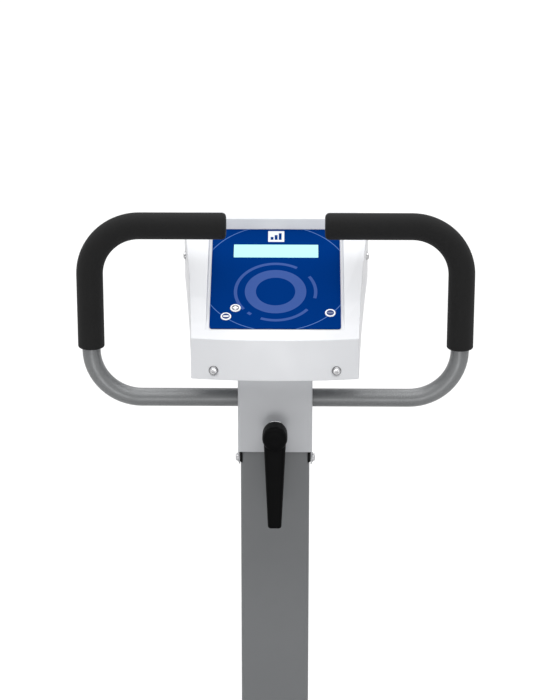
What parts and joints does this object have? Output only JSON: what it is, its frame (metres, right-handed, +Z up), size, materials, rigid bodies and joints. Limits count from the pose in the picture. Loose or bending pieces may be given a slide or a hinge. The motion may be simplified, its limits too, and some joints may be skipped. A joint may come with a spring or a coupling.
{
  "type": "rehabilitation exercise bike",
  "caption": "Upright exercise bike: square column, looped padded handlebar, sloped console, clamping lever, saddle on a leaning post, strapped pedals, housed drive, cross feet and rollers.",
  "frame": {"origin": "middle of the footprint, on the floor", "axes": "+X to the rider's right, +Y the way the rider faces, +Z up"},
  "size_m": [0.5, 0.98, 1.2535],
  "materials": {
    "white_shell": "satin moulded plastic",
    "panel_blue": "smooth printed foil",
    "lcd_lens": "clear window over a pale display",
    "black_plastic": "fine-grained moulded plastic",
    "foam": "matt foam",
    "board_green": "coated circuit board",
    "key_white": "smooth",
    "light_grey_paint": "satin powder coat",
    "mid_grey_paint": "satin powder coat",
    "dark_grey_paint": "satin powder coat",
    "zinc": "zinc plated",
    "chrome": "polished",
    "aluminium": "machined",
    "cast_iron": "cast and turned",
    "seat_vinyl": "soft grained cover",
    "rubber": "matt"
  },
  "bodies": {
    "frame": {"console_upper_shell": "white_shell", "console_lower_shell": "white_shell", "housing_left": "white_shell", "housing_right": "white_shell", "keypad_foil": "panel_blue", "display_lens": "lcd_lens", "control_board": "board_green", "display_module": "black_plastic", "column_liner": "black_plastic", "foot_cap_front_left": "black_plastic", "foot_cap_front_right": "black_plastic", "foot_cap_rear_left": "black_plastic", "foot_cap_rear_right": "black_plastic", "seat_tube_bush": "black_plastic", "console_front_screw_left": "zinc", "console_front_screw_right": "zinc", "console_side_screw_left": "zinc", "console_side_screw_right": "zinc", "sleeve_screw_left": "zinc", "sleeve_screw_right": "zinc", "wheel_axle_left": "zinc", "wheel_axle_right": "zinc", "crank_bearing_left": "zinc", "crank_bearing_right": "zinc", "flywheel_bearing": "zinc", "console_bracket": "light_grey_paint", "head_sleeve": "light_grey_paint", "front_column": "dark_grey_paint", "base_beam": "dark_grey_paint", "front_foot": "dark_grey_paint", "rear_foot": "dark_grey_paint", "seat_tube": "dark_grey_paint", "drive_bracket": "dark_grey_paint", "clamp_block": "aluminium", "brake_magnet": "cast_iron", "drive_belt": "rubber"},
    "handlebar": {"handlebar_tube": "mid_grey_paint", "grip_left": "foam", "grip_right": "foam"},
    "stud": {"lever_stud": "zinc"},
    "lever": {"clamp_lever": "black_plastic"},
    "plus_key": {"key_plus": "key_white"},
    "minus_key": {"key_minus": "key_white"},
    "start_key": {"key_start": "key_white"},
    "crank": {"crank_axle": "zinc", "drive_pulley": "aluminium", "crank_arm_left": "chrome", "crank_arm_right": "chrome"},
    "left_pedal": {"pedal_left": "black_plastic", "pedal_strap_left": "rubber"},
    "right_pedal": {"pedal_right": "black_plastic", "pedal_strap_right": "rubber"},
    "flywheel_body": {"flywheel": "cast_iron"},
    "seat": {"seat_post": "chrome", "saddle_bracket": "dark_grey_paint", "saddle_base": "black_plastic", "saddle_cushion": "seat_vinyl"},
    "knob": {"seat_knob": "black_plastic"},
    "left_wheel": {"transport_wheel_left": "rubber"},
    "right_wheel": {"transport_wheel_right": "rubber"}
  },
  "joints": [
    {"name": "handlebar_tilt", "type": "hinge", "parent": "frame", "child": "handlebar", "pos_m": [0, 0.304, 1.03], "axis": [1, 0, 0], "range_deg": [-15, 80]},
    {"name": "clamp_lever_turn", "type": "hinge", "parent": "frame", "child": "stud", "pos_m": [0, 0.261, 1.0075], "axis": [0, -1, 0], "range_deg": [0, 105]},
    {"name": "clamp_lever_lift", "type": "slide", "parent": "stud", "child": "lever", "axis": [0, -1, 0], "range_m": [0, 0.004], "stiffness_N_per_m": 800},
    {"name": "key_plus_press", "type": "slide", "parent": "frame", "child": "plus_key", "axis": [0, 0.454, -0.891], "range_m": [0, 0.0005], "stiffness_N_per_m": 1500},
    {"name": "key_minus_press", "type": "slide", "parent": "frame", "child": "minus_key", "axis": [0, 0.454, -0.891], "range_m": [0, 0.0005], "stiffness_N_per_m": 1500},
    {"name": "key_start_press", "type": "slide", "parent": "frame", "child": "start_key", "axis": [0, 0.454, -0.891], "range_m": [0, 0.0005], "stiffness_N_per_m": 1500},
    {"name": "flywheel_spin", "type": "hinge", "parent": "frame", "child": "flywheel_body", "pos_m": [0, 0.129, 0.215], "axis": [-1, 0, 0], "continuous": true},
    {"name": "crank_spin", "type": "hinge", "parent": "frame", "child": "crank", "pos_m": [0, -0.006, 0.3], "axis": [-1, 0, 0], "continuous": true},
    {"name": "pedal_left_spin", "type": "hinge", "parent": "crank", "child": "left_pedal", "pos_m": [-0.124, -0.15017, 0.39009], "axis": [-1, 0, 0], "continuous": true},
    {"name": "pedal_right_spin", "type": "hinge", "parent": "crank", "child": "right_pedal", "pos_m": [0.124, 0.13817, 0.20991], "axis": [-1, 0, 0], "continuous": true},
    {"name": "seat_height", "type": "slide", "parent": "frame", "child": "seat", "axis": [0, -0.2079, 0.9781], "range_m": [-0.12, 0.13]},
    {"name": "seat_knob_turn", "type": "hinge", "parent": "frame", "child": "knob", "pos_m": [0, -0.23782, 0.52486], "axis": [0, 0.9781, 0.2079], "range_deg": [0, 180]},
    {"name": "wheel_left_spin", "type": "hinge", "parent": "frame", "child": "left_wheel", "pos_m": [-0.22, 0.47, 0.023], "axis": [1, 0, 0], "continuous": true},
    {"name": "wheel_right_spin", "type": "hinge", "parent": "frame", "child": "right_wheel", "pos_m": [0.22, 0.47, 0.023], "axis": [1, 0, 0], "continuous": true}
  ],
  "couplings": [
    {"joint": "crank_spin", "follows": "flywheel_spin", "ratio": 0.25}
  ]
}
